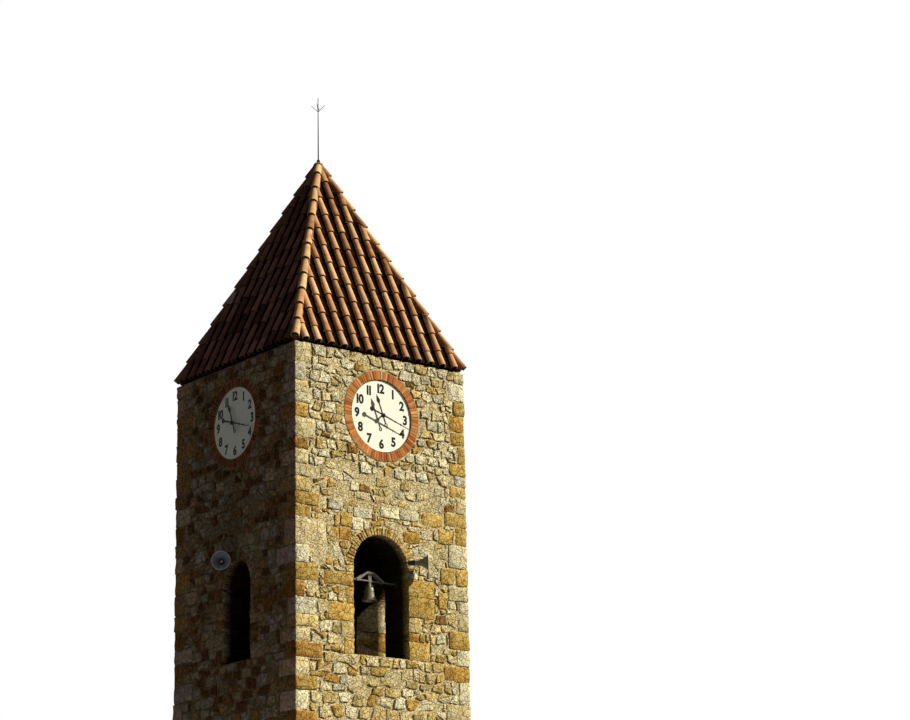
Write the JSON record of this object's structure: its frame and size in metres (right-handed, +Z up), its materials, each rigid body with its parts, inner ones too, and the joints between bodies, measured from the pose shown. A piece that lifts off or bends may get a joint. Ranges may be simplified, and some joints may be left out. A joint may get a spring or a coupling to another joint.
{
  "type": "stone bell tower",
  "caption": "Square stone bell tower with a steep tiled pyramid roof, clock dials with turning hands, arched openings and a swinging bell.",
  "frame": {"origin": "on the ground at the tower's vertical axis, at the underside of the ground floor", "axes": "+Z up; the main face with the bell looks along -Y, the second clock face along -X"},
  "size_m": [4.4416, 4.4216, 18.8121],
  "materials": {
    "rubble_stone": "rough rubble masonry of pale limestone and golden sandstone",
    "arch_stone": "thin golden sandstone arch stones",
    "floor_stone": "worn stone flags",
    "clay_tile": "weathered unglazed barrel tile",
    "mortar": "weathered lime mortar",
    "brick": "unglazed red brick",
    "timber": "aged boards",
    "dark_iron": "weathered dark iron",
    "dial_enamel": "cream enamel",
    "hand_black": "matt black paint",
    "bell_bronze": "aged bell bronze",
    "yoke_iron": "worn grey iron",
    "horn_paint": "weathered pale grey paint",
    "driver_paint": "dark grey paint",
    "bracket_steel": "dark weathered steel"
  },
  "bodies": {
    "tower": {"apex_cap": "mortar", "arch_head_back": "rubble_stone", "arch_head_front": "rubble_stone", "arch_head_left": "rubble_stone", "arch_head_right": "rubble_stone", "arch_ring_back": "arch_stone", "arch_ring_front": "arch_stone", "arch_ring_left": "arch_stone", "arch_ring_right": "arch_stone", "axle_bearings": "yoke_iron", "belfry_floor": "timber", "corner_pier_back_left": "rubble_stone", "corner_pier_back_right": "rubble_stone", "corner_pier_front_left": "rubble_stone", "corner_pier_front_right": "rubble_stone", "front_brick_ring": "brick", "front_dial": "dial_enamel", "front_horn": "horn_paint", "front_horn_bracket": "bracket_steel", "front_horn_driver": "driver_paint", "ground_floor": "floor_stone", "hip_tiles_back_left": "clay_tile", "hip_tiles_back_right": "clay_tile", "hip_tiles_front_left": "clay_tile", "hip_tiles_front_right": "clay_tile", "left_brick_ring": "brick", "left_dial": "dial_enamel", "left_horn": "horn_paint", "left_horn_bracket": "bracket_steel", "left_horn_driver": "driver_paint", "lightning_rod": "dark_iron", "roof_back": "clay_tile", "roof_front": "clay_tile", "roof_left": "clay_tile", "roof_right": "clay_tile", "shaft_wall_back": "rubble_stone", "shaft_wall_front": "rubble_stone", "shaft_wall_left": "rubble_stone", "shaft_wall_right": "rubble_stone"},
    "front_minute": {"front_minute_hand": "hand_black"},
    "front_hour": {"front_hour_hand": "hand_black"},
    "left_minute": {"left_minute_hand": "hand_black"},
    "left_hour": {"left_hour_hand": "hand_black"},
    "bell": {"bell": "bell_bronze", "bell_axle": "yoke_iron", "bell_yoke": "yoke_iron"},
    "clapper": {"bell_clapper": "yoke_iron"}
  },
  "joints": [
    {"name": "front_minute_turn", "type": "hinge", "parent": "tower", "child": "front_minute", "pos_m": [0, -1.95, 11.87], "axis": [0, 1, 0], "continuous": true},
    {"name": "front_hour_turn", "type": "hinge", "parent": "tower", "child": "front_hour", "pos_m": [0, -1.95, 11.87], "axis": [0, 1, 0], "continuous": true},
    {"name": "left_minute_turn", "type": "hinge", "parent": "tower", "child": "left_minute", "pos_m": [-1.95, 0, 11.87], "axis": [1, 0, 0], "continuous": true},
    {"name": "left_hour_turn", "type": "hinge", "parent": "tower", "child": "left_hour", "pos_m": [-1.95, 0, 11.87], "axis": [1, 0, 0], "continuous": true},
    {"name": "bell_swing", "type": "hinge", "parent": "tower", "child": "bell", "pos_m": [-0.06, -1.6, 8.83], "axis": [1, 0, 0], "range_deg": [-60, 60]},
    {"name": "clapper_swing", "type": "hinge", "parent": "bell", "child": "clapper", "pos_m": [-0.06, -1.6, 8.676], "axis": [1, 0, 0], "range_deg": [-20, 20]}
  ],
  "couplings": [
    {"joint": "front_hour_turn", "follows": "front_minute_turn", "ratio": 0.083333},
    {"joint": "left_minute_turn", "follows": "front_minute_turn", "ratio": 1},
    {"joint": "left_hour_turn", "follows": "front_minute_turn", "ratio": 0.083333}
  ]
}
